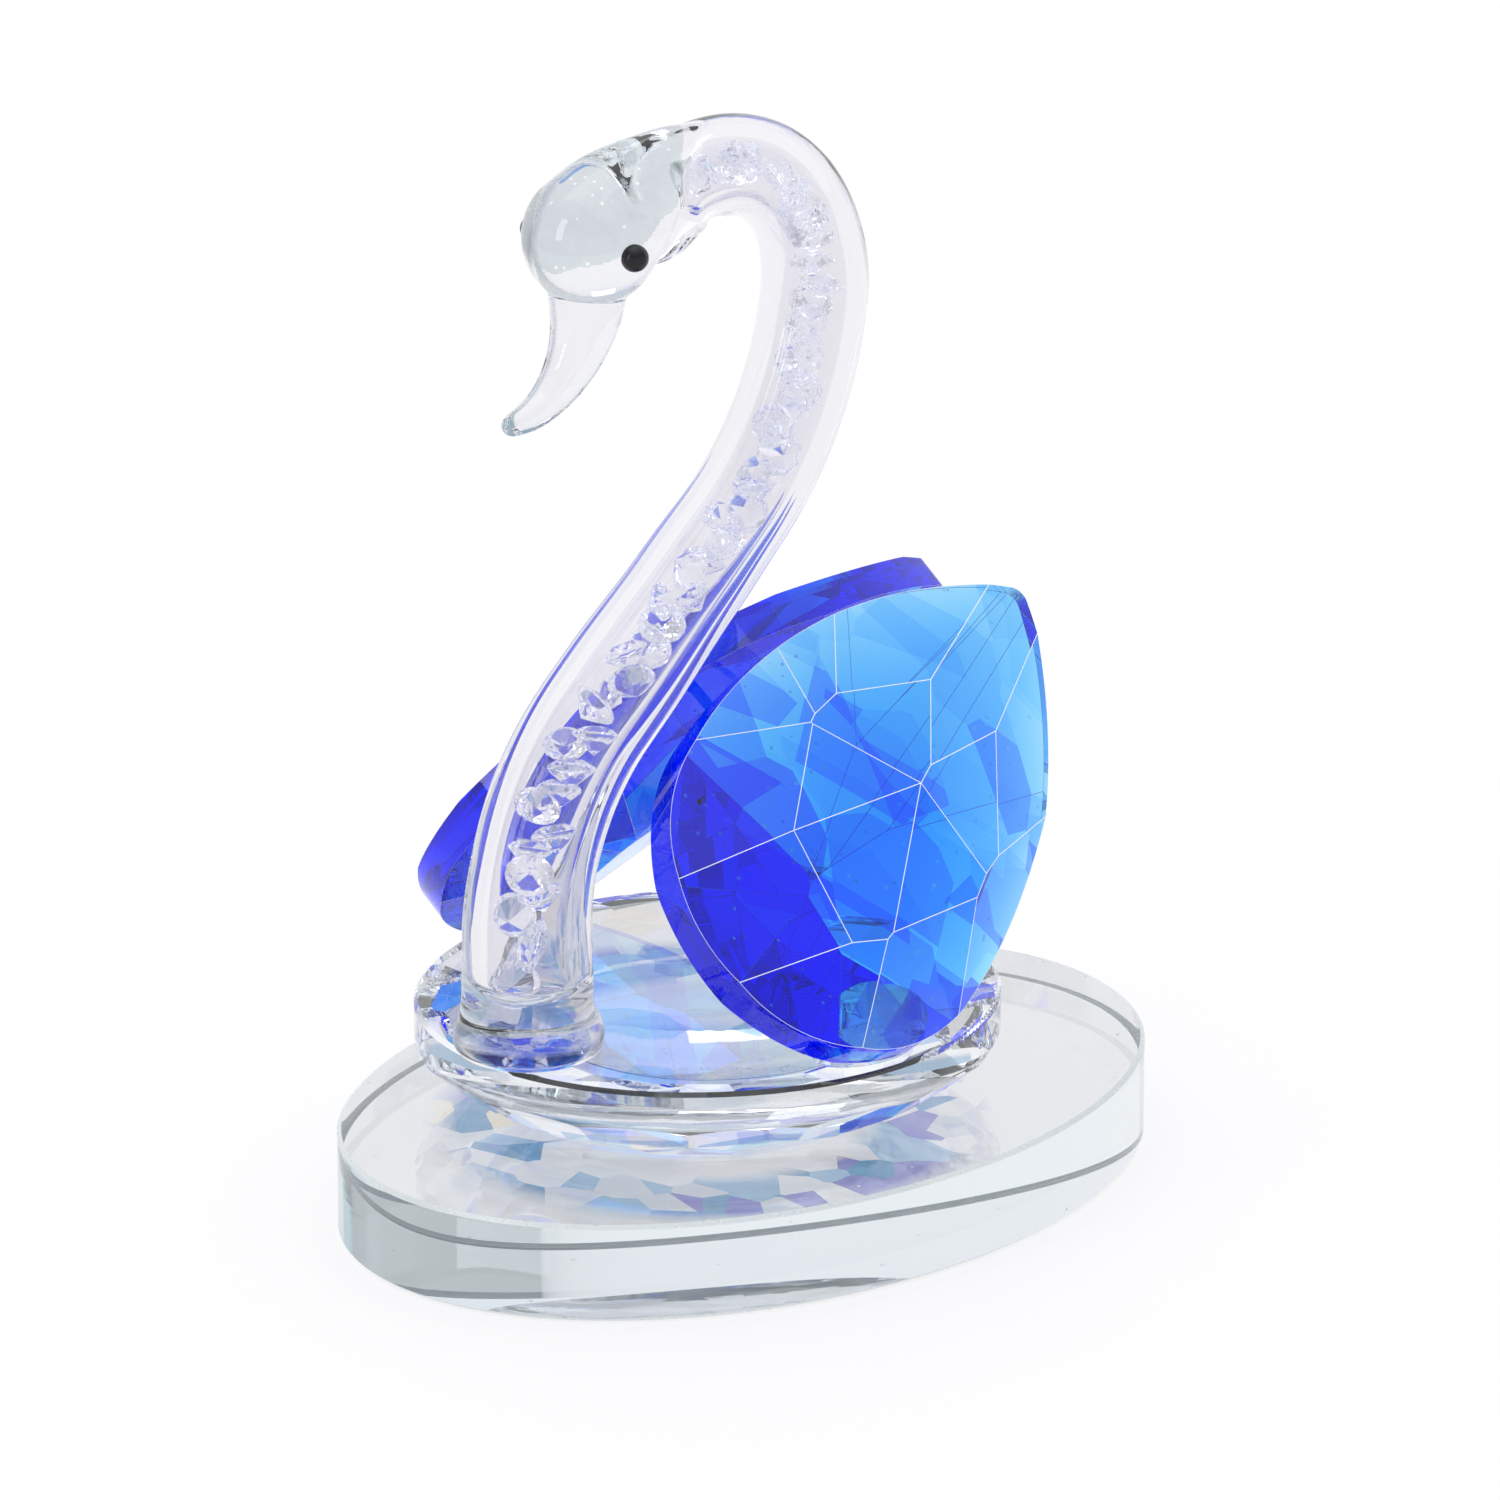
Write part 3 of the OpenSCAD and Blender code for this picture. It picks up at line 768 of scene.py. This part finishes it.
def foot_rings(count):
    """The solid flared foot under the tube, from its underside up, as (radius, height) gives it."""
    rings = []
    for radius, z in FOOT_PROFILE:
        ring = []
        for x, y, level in ring_at((NECK_X, z, math.pi / 2), radius, count):
            away = Vector((x - NECK_X, y, 0)).normalized()
            flare = (max(0.0, away.x) * 0.55 if z < 27 else 0.0) - 0.12
            ripple = 0.10 * noise.noise(Vector((away.x * 1.7, away.y * 1.7, z * 0.45)))
            grow = (flare if radius > 7.1 else 0.0) * 0.5 + ripple
            ring.append((x + away.x * grow, y + away.y * grow, level))
        rings.append(ring)
    return rings


# ---------------------------------------------------------------- head
HEAD_JOIN = CREST_START + CREST_R * math.radians(56)
STUB_PAST = 6.5
HEAD_AT = (-22.4, 110.2)
HEAD_R = 7.3
HEAD_TILT = 22
HEAD_VOXEL = 0.24
HEAD_SOFTENING = 20
# The crown's and the beak's centre lines as (x, z, radius).
CROWN_LINE = ((-22.4, 110.2, 7.3), (-17.3, 113.2, 6.3), (-11.1, 116.4, 3.5), (-5.0, 118.2, 1.1))
CROWN_FOOT = (-22.4, 110.9)
CROWN_FOOT_TILT = 21
BEAK_LINE = ((-22.9, 106.6, 4.2), (-23.0, 104.4, 4.15), (-23.3, 101.6, 3.75), (-24.5, 98.4, 3.1),
             (-26.5, 95.7, 2.5), (-29.0, 93.7, 2.0), (-31.6, 92.6, 1.6), (-33.8, 92.2, 1.25))


def smooth_line(line, steps):
    """Points of a Catmull-Rom curve through the line."""
    points = []
    last = len(line) - 1
    for i in range(last):
        p = [line[max(i - 1, 0)], line[i], line[i + 1], line[min(i + 2, last)]]
        for j in range(steps):
            t = j / steps
            points.append(tuple(
                0.5 * (2 * p[1][k] + (p[2][k] - p[0][k]) * t
                       + (2 * p[0][k] - 5 * p[1][k] + 4 * p[2][k] - p[3][k]) * t * t
                       + (3 * p[1][k] - p[0][k] - 3 * p[2][k] + p[3][k]) * t**3)
                for k in range(3)
            ))
    points.append(line[-1])
    return points


def crown_rings(count):
    """A round head that tapers back over the neck's crest to a point."""
    tilt = math.radians(HEAD_TILT)
    rings = []
    for i in range(1, 18):
        t = math.radians(90 * i / 18)
        back = HEAD_R * math.cos(t)
        state = (HEAD_AT[0] - back * math.cos(tilt), HEAD_AT[1] - back * math.sin(tilt), tilt)
        rings.append(ring_at(state, HEAD_R * math.sin(t), count))
    return rings + line_rings(CROWN_LINE, 8, count)


def beak_rings(count):
    return line_rings(BEAK_LINE, 6, count)


def line_rings(line, steps, count):
    """Rings along a smooth line of (x, z, radius), closed by a round end."""
    points = smooth_line(line, steps)
    rings = []
    for i, (x, z, r) in enumerate(points):
        before = points[max(i - 1, 0)]
        after = points[min(i + 1, len(points) - 1)]
        heading = math.atan2(after[1] - before[1], after[0] - before[0])
        rings.append(ring_at((x, z, heading), r, count))
    x, z, r = points[-1]
    before = points[-2]
    heading = math.atan2(z - before[1], x - before[0])
    for i in range(1, 7):
        t = math.radians(90 * i / 7)
        state = (x + r * math.sin(t) * math.cos(heading), z + r * math.sin(t) * math.sin(heading), heading)
        rings.append(ring_at(state, r * math.cos(t), count))
    return rings


def tool_object(name, rings):
    bm = bmesh.new()
    skin(bm, rings)
    return finish_mesh(name, bm, [])


def boolean(obj, other, operation):
    mod = obj.modifiers.new("join", "BOOLEAN")
    mod.operation = operation
    mod.object = other
    mod.solver = "EXACT"
    graph = bpy.context.evaluated_depsgraph_get()
    mesh = bpy.data.meshes.new_from_object(obj.evaluated_get(graph))
    obj.modifiers.clear()
    old = obj.data
    obj.data = mesh
    bpy.data.meshes.remove(old)
    bpy.data.objects.remove(other)


def stub_state(s):
    """(x, z, heading) along the neck and straight on past its end."""
    past = max(0.0, s - NECK_LENGTH)
    x, z, heading = neck_state(min(s, NECK_LENGTH))
    return x + past * math.cos(heading), z + past * math.sin(heading), heading


def head_blank():
    """Head, beak and the last of the neck run together and softened, as worked glass is."""
    head = tool_object("head_blank", crown_rings(72))
    boolean(head, tool_object("beak_blank", beak_rings(48)), "UNION")
    stub = []
    start = HEAD_JOIN - 2.5
    end = NECK_LENGTH + STUB_PAST
    for i in range(57):
        s = start + (end - start) * i / 56
        close = math.sqrt(1 - (max(0.0, s - NECK_LENGTH) / (STUB_PAST + 0.3)) ** 2)
        stub.append(ring_at(stub_state(s), tube_radius(s) * close, 96))
    boolean(head, tool_object("stub_blank", stub), "UNION")
    remesh = head.modifiers.new("remesh", "REMESH")
    remesh.mode = "VOXEL"
    remesh.voxel_size = HEAD_VOXEL * MM
    soften = head.modifiers.new("soften", "SMOOTH")
    soften.factor = 0.5
    soften.iterations = HEAD_SOFTENING
    graph = bpy.context.evaluated_depsgraph_get()
    bm = bmesh.new()
    bm.from_mesh(head.evaluated_get(graph).to_mesh())
    bpy.data.objects.remove(head)
    return bm


TUBE_IN_HEAD = [stub_state(HEAD_JOIN + (NECK_LENGTH + 3 - HEAD_JOIN) * i / 28) for i in range(29)]
TUBE_CLEARANCE = tube_radius(BORE_END) + 0.8


def in_crown(point):
    """True for a point in metres on the tinted crown: clear of the tube, above the crown's edge."""
    x, y, z = point.x / MM, point.y / MM, point.z / MM
    wave = 0.9 * noise.noise(Vector((x * 0.3, y * 0.3, 4.0)))
    if z < CROWN_FOOT[1] + wave + math.tan(math.radians(CROWN_FOOT_TILT)) * (x - CROWN_FOOT[0]):
        return False
    return all(math.hypot(x - at[0], z - at[1], y) >= TUBE_CLEARANCE for at in TUBE_IN_HEAD)


def make_neck_and_head(neck_mat, head_mat):
    """One piece of worked glass from the foot to the beak's tip, with the closed bore inside."""
    count = 96
    bm = head_blank()
    for face in bm.faces:
        face.material_index = int(in_crown(face.calc_center_median()))
    x, z, heading = neck_state(HEAD_JOIN)
    opened = bmesh.ops.bisect_plane(
        bm, geom=list(bm.verts) + list(bm.edges) + list(bm.faces), dist=1e-7,
        plane_co=Vector((x, 0, z)) * MM, plane_no=Vector((math.cos(heading), 0, math.sin(heading))),
        clear_inner=True,
    )
    rim = [item for item in opened["geom_cut"] if isinstance(item, bmesh.types.BMEdge)]
    rings = foot_rings(count)
    end = HEAD_JOIN - 0.4
    steps = int(end / 0.6)
    for i in range(steps + 1):
        s = 0.4 + (end - 0.4) * i / steps
        rings.append(ring_at(neck_state(s), tube_radius(s), count))
    rows = skin(bm, rings, end_cap=False)
    last = rows[-1]
    loop = [bm.edges.get((last[j], last[(j + 1) % count])) for j in range(count)]
    bmesh.ops.bridge_loops(bm, edges=rim + loop)
    skin(bm, bore_rings(count), flip=True)
    obj = finish_mesh("neck_and_head_glass", bm, [neck_mat, head_mat], sharp_angle=40, keep_normals=True)
    return add_piece(obj, "neck_glass", "neck_tube", "neck_foot", "head", "beak")


# ---------------------------------------------------------------- eyes
def make_eye(name, node, mat):
    low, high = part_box(node)
    centre = (low + high) / 2
    radius = (high.x - low.x) / 2
    bm = bmesh.new()
    bmesh.ops.create_uvsphere(bm, u_segments=40, v_segments=24, radius=radius)
    for v in bm.verts:
        v.co *= 1 - 0.03 * (0.5 + 0.5 * noise.noise(v.co * 900))
        v.co += centre
    obj = finish_mesh(name, bm, [mat])
    return add_piece(obj, "eye_black", node)


# ---------------------------------------------------------------- stones
STONE_D = 5.2
STONE_PITCH = 2.3
STONE_TWIST = 137
STONE_START = 2.6
STONE_STOP = 2.2
STONE_GAP = 0.15
STONE_TILTS = (20, 45, 70, 90, 105)


def brilliant():
    """Vertices of a round brilliant about its girdle, radius 1, table towards +Z."""
    points = []
    for i in range(8):
        t = math.radians(45 * i + 22.5)
        points.append(Vector((0.56 * math.cos(t), 0.56 * math.sin(t), 0.36)))
        u = math.radians(45 * i)
        points.append(Vector((0.80 * math.cos(u), 0.80 * math.sin(u), 0.235)))
        points.append(Vector((0.50 * math.cos(u), 0.50 * math.sin(u), -0.47)))
    for i in range(16):
        t = math.radians(22.5 * i)
        points.append(Vector((math.cos(t), math.sin(t), 0.05)))
        points.append(Vector((math.cos(t), math.sin(t), -0.04)))
    points.append(Vector((0, 0, -0.84)))
    return points


def stone_frames():
    """Place of each stone piled along the bore: (centre, rotation)."""
    chance = random.Random(11)
    frames = []
    s = STONE_START
    twist = math.radians(STONE_TWIST)
    while s < BORE_END - STONE_STOP:
        x, z, h = neck_state(s)
        off = max(STONE_GAP, bore_radius(s) - STONE_D / 2 - STONE_GAP)
        t = len(frames) * twist
        centre = Vector((
            x - math.sin(h) * math.cos(t) * off,
            math.sin(t) * off,
            z + math.cos(h) * math.cos(t) * off,
        ))
        along = Vector((math.cos(h), 0, math.sin(h)))
        tilt = math.radians(chance.choice(STONE_TILTS) + chance.uniform(-12, 12))
        spin = chance.uniform(0, 2 * math.pi)
        basis = along.to_track_quat("Z", "Y").to_matrix().to_4x4()
        turn = basis @ Matrix.Rotation(spin, 4, "Z") @ Matrix.Rotation(tilt, 4, "X")
        turn = turn @ Matrix.Rotation(chance.uniform(0, 1), 4, "Z")
        frames.append((centre, turn))
        side = 2 * off * math.sin(twist / 2)
        reach = 0.55 * STONE_D
        s += max(STONE_PITCH, math.sqrt(max(0.0, reach**2 - side**2)))
    return frames


def make_stones(mat):
    frames = stone_frames()
    third = len(frames) / 3
    groups = {"stones_lower": [], "stones_middle": [], "stones_upper": []}
    names = list(groups)
    for i, item in enumerate(frames):
        groups[names[min(2, int(i / third))]].append(item)
    radius = STONE_D / 2 * 0.96
    for name, items in groups.items():
        bm = bmesh.new()
        for centre, turn in items:
            verts = [bm.verts.new((centre + turn @ (p * radius)) * MM) for p in brilliant()]
            hull = bmesh.ops.convex_hull(bm, input=verts)
            inside = hull["geom_interior"] + hull["geom_unused"]
            loose = [v for v in inside if isinstance(v, bmesh.types.BMVert)]
            bmesh.ops.delete(bm, geom=loose, context="VERTS")
        bmesh.ops.dissolve_limit(bm, angle_limit=math.radians(1.5), verts=bm.verts, edges=bm.edges)
        obj = finish_mesh(name + "_cut", bm, [mat], flat=True)
        add_piece(obj, "stone_crystal", name)


# ---------------------------------------------------------------- glue
BASE_GLUE = (10.79, 10.96)
NECK_GLUE = (22.54, 22.71)


def wobbly_disc(name, centre, radius, span, mat, node, seed):
    """A film of glue between two heights, with an uneven edge."""
    rings = []
    for inset, z in ((0.25, span[0]), (0.0, sum(span) / 2), (0.2, span[1])):
        ring = []
        for i in range(160):
            t = 2 * math.pi * i / 160
            wave = noise.noise(Vector((math.cos(t) * 1.6 + seed, math.sin(t) * 1.6, seed)))
            r = radius - inset + 0.5 * wave
            ring.append((centre + r * math.cos(t), r * math.sin(t), z))
        rings.append(ring)
    obj = layered(rings, [mat], name, sharp=30)
    return add_piece(obj, "resin", node)


# The glue behind each wing: its centre, half axes, and (swelling, height) up the column.
BOND_AT = (WING_AT[0] - 0.3, -24.7)
BOND_HALF = (6.1, 3.7)
BOND_FLARE = ((0.5, 22.54), (0.45, 22.75), (0.12, 23.4), (0.0, 24.4), (0.0, 34.5))
BOND_LAP = 0.015


def make_wing_bond(name, node, mirrored, mat):
    """An oval column of cured resin cut to the wing's back, with a softly swollen foot."""
    place = wing_place()
    point, outward = back_plane(*GLUED_FACET)
    point = place @ (point - outward * BOND_LAP * MM)
    normal = place.to_3x3() @ -outward
    turns = [2 * math.pi * i / 96 for i in range(96)]
    rings = []
    for grow, z in BOND_FLARE:
        a = BOND_HALF[0] + grow
        b = BOND_HALF[1] + grow
        rings.append([(BOND_AT[0] + a * math.cos(t), BOND_AT[1] + b * math.sin(t), z) for t in turns])
    bm = bmesh.new()
    skin(bm, rings, flip=True)
    cut(bm, point, normal)
    if mirrored:
        bm.transform(Matrix.Scale(-1, 4, (0, 1, 0)))
        bmesh.ops.reverse_faces(bm, faces=bm.faces)
    obj = finish_mesh(name, bm, [mat], sharp_angle=30)
    return add_piece(obj, "resin", node)


# ---------------------------------------------------------------- stage
FLOOR_GAP = 0.2
BOUNCES = 28


def make_floor():
    bm = bmesh.new()
    bmesh.ops.create_circle(bm, cap_ends=True, radius=9.0, segments=96)
    obj = finish_mesh("floor", bm, [floor_material()])
    obj.location.z = -FLOOR_GAP * MM


def area_light(name, at, target, size, power):
    data = bpy.data.lights.new(name, "AREA")
    data.shape = "RECTANGLE"
    data.size = size[0]
    data.size_y = size[1]
    data.energy = power
    obj = bpy.data.objects.new(name, data)
    bpy.context.scene.collection.objects.link(obj)
    obj.location = at
    aim = Vector(target) - Vector(at)
    obj.rotation_euler = aim.to_track_quat("-Z", "Y").to_euler()
    return obj


def make_lights():
    area_light("top_box", (0.0, 0.1, 1.5), (0, 0, 0.04), (1.2, 1.2), 4)
    area_light("back_box", (0.9, 1.1, 1.35), (0, 0, 0.05), (0.5, 0.5), 1.2)
    area_light("left_box", (-1.3, 0.2, 0.6), (0, 0, 0.05), (0.3, 0.8), 2.5)


def make_world():
    """A plain studio: bright ceiling, darker walls, and a dim side where the viewer stands."""
    world = bpy.data.worlds.new("studio")
    bpy.context.scene.world = world
    world.use_nodes = True
    tree = world.node_tree
    tree.nodes.clear()
    out = tree.nodes.new("ShaderNodeOutputWorld")
    back = tree.nodes.new("ShaderNodeBackground")
    tree.links.new(back.outputs["Background"], out.inputs["Surface"])
    coord = tree.nodes.new("ShaderNodeTexCoord")
    split = tree.nodes.new("ShaderNodeSeparateXYZ")
    tree.links.new(coord.outputs["Generated"], split.inputs["Vector"])
    ramp = tree.nodes.new("ShaderNodeValToRGB")
    tree.links.new(split.outputs["Z"], ramp.inputs["Fac"])
    levels = ((0.0, 0.82), (0.2, 0.76), (0.32, 0.62), (0.5, 0.42), (0.66, 0.65), (0.8, 1.0))
    while len(ramp.color_ramp.elements) < len(levels):
        ramp.color_ramp.elements.new(0.5)
    for element, (place, level) in zip(ramp.color_ramp.elements, levels):
        element.position = place
        element.color = (level, level, level, 1)
    facing = tree.nodes.new("ShaderNodeVectorMath")
    facing.operation = "DOT_PRODUCT"
    facing.inputs[1].default_value = (0.70, 0.71, 0.0)
    tree.links.new(coord.outputs["Generated"], facing.inputs[0])
    wall = remap(tree, facing.outputs["Value"], -0.1, 0.3, 0.0, 0.94)
    lit = tree.nodes.new("ShaderNodeMath")
    lit.operation = "MAXIMUM"
    tree.links.new(ramp.outputs["Color"], lit.inputs[0])
    tree.links.new(wall, lit.inputs[1])
    strength = tree.nodes.new("ShaderNodeMath")
    strength.operation = "MULTIPLY"
    strength.inputs[1].default_value = 1.12
    tree.links.new(lit.outputs["Value"], strength.inputs[0])
    back.inputs["Color"].default_value = (0.985, 0.995, 1.0, 1.0)
    tree.links.new(strength.outputs["Value"], back.inputs["Strength"])


def set_look():
    scene = bpy.context.scene
    scene.view_settings.view_transform = "Standard"
    scene.view_settings.exposure = 0.0
    scene.cycles.max_bounces = BOUNCES
    scene.cycles.transmission_bounces = BOUNCES
    scene.cycles.glossy_bounces = BOUNCES
    scene.cycles.diffuse_bounces = 4
    scene.cycles.transparent_max_bounces = 16


# ---------------------------------------------------------------- build
make_camera()
base_mat = glass("base_glass", PLATE_CLEAR, (0.42, 0.72, 0.80, 1.0), 2.0, wave=0.003, wave_scale=30,
                 specks=0.07, speck_scale=260, painted_light_fn=plate_painted_reflection)
body_mat = glass("body_glass", BODY_CLEAR, (0.6, 0.75, 0.8, 1.0), 2.0, wave=0.003, wave_scale=40,
                 specks=0.06, speck_scale=300, painted_light_fn=body_painted_reflection)
neck_mat = glass("neck_glass", NECK_CLEAR, (0.6, 0.7, 0.72, 1.0), 2.0, ior=1.5, wave=0.012, wave_scale=90)
wing_mat = glass("wing_glass", (0.97, 0.985, 1.0, 1.0), (0.105, 0.73, 0.992, 1.0), 300.0, wave=0.003,
                 wave_scale=70, specks=0.16, speck_scale=520, painted_light_fn=wing_painted_light)
resin_mat = glass("resin", (0.98, 0.985, 0.985, 1.0), (0.7, 0.75, 0.72, 1.0), 2.0, ior=1.5, wave=0.06,
                  wave_scale=260, specks=0.1, speck_scale=900)
white_line = edge_line("facet_line", (0.94, 0.97, 1.0, 1.0), 0.45)
grey_line = edge_line("ground_edge", (0.74, 0.79, 0.80, 1.0), 0.35)
body_line = edge_line("cut_edge", (0.75, 0.8, 0.82, 1.0), 0.35)

make_base([base_mat, grey_line])
make_body([body_mat, body_line])
wobbly_disc("base_glue", BODY_X, 18.4, BASE_GLUE, resin_mat, "base_bond", 3.1)
wobbly_disc("neck_glue", NECK_X, 6.7, NECK_GLUE, resin_mat, "neck_bond", 7.7)
make_neck_and_head(neck_mat, head_material())
make_stones(stone_material())
eye_mat = eye_material()
make_eye("eye_left_bead", "eye_left", eye_mat)
make_eye("eye_right_bead", "eye_right", eye_mat)
make_wing("wing_left_glass", "wing_left", False, [wing_mat, white_line])
make_wing("wing_right_glass", "wing_right", True, [wing_mat, white_line])
make_wing_bond("wing_glue_left", "wing_bond_left", False, resin_mat)
make_wing_bond("wing_glue_right", "wing_bond_right", True, resin_mat)

make_floor()
make_lights()
make_world()
set_look()
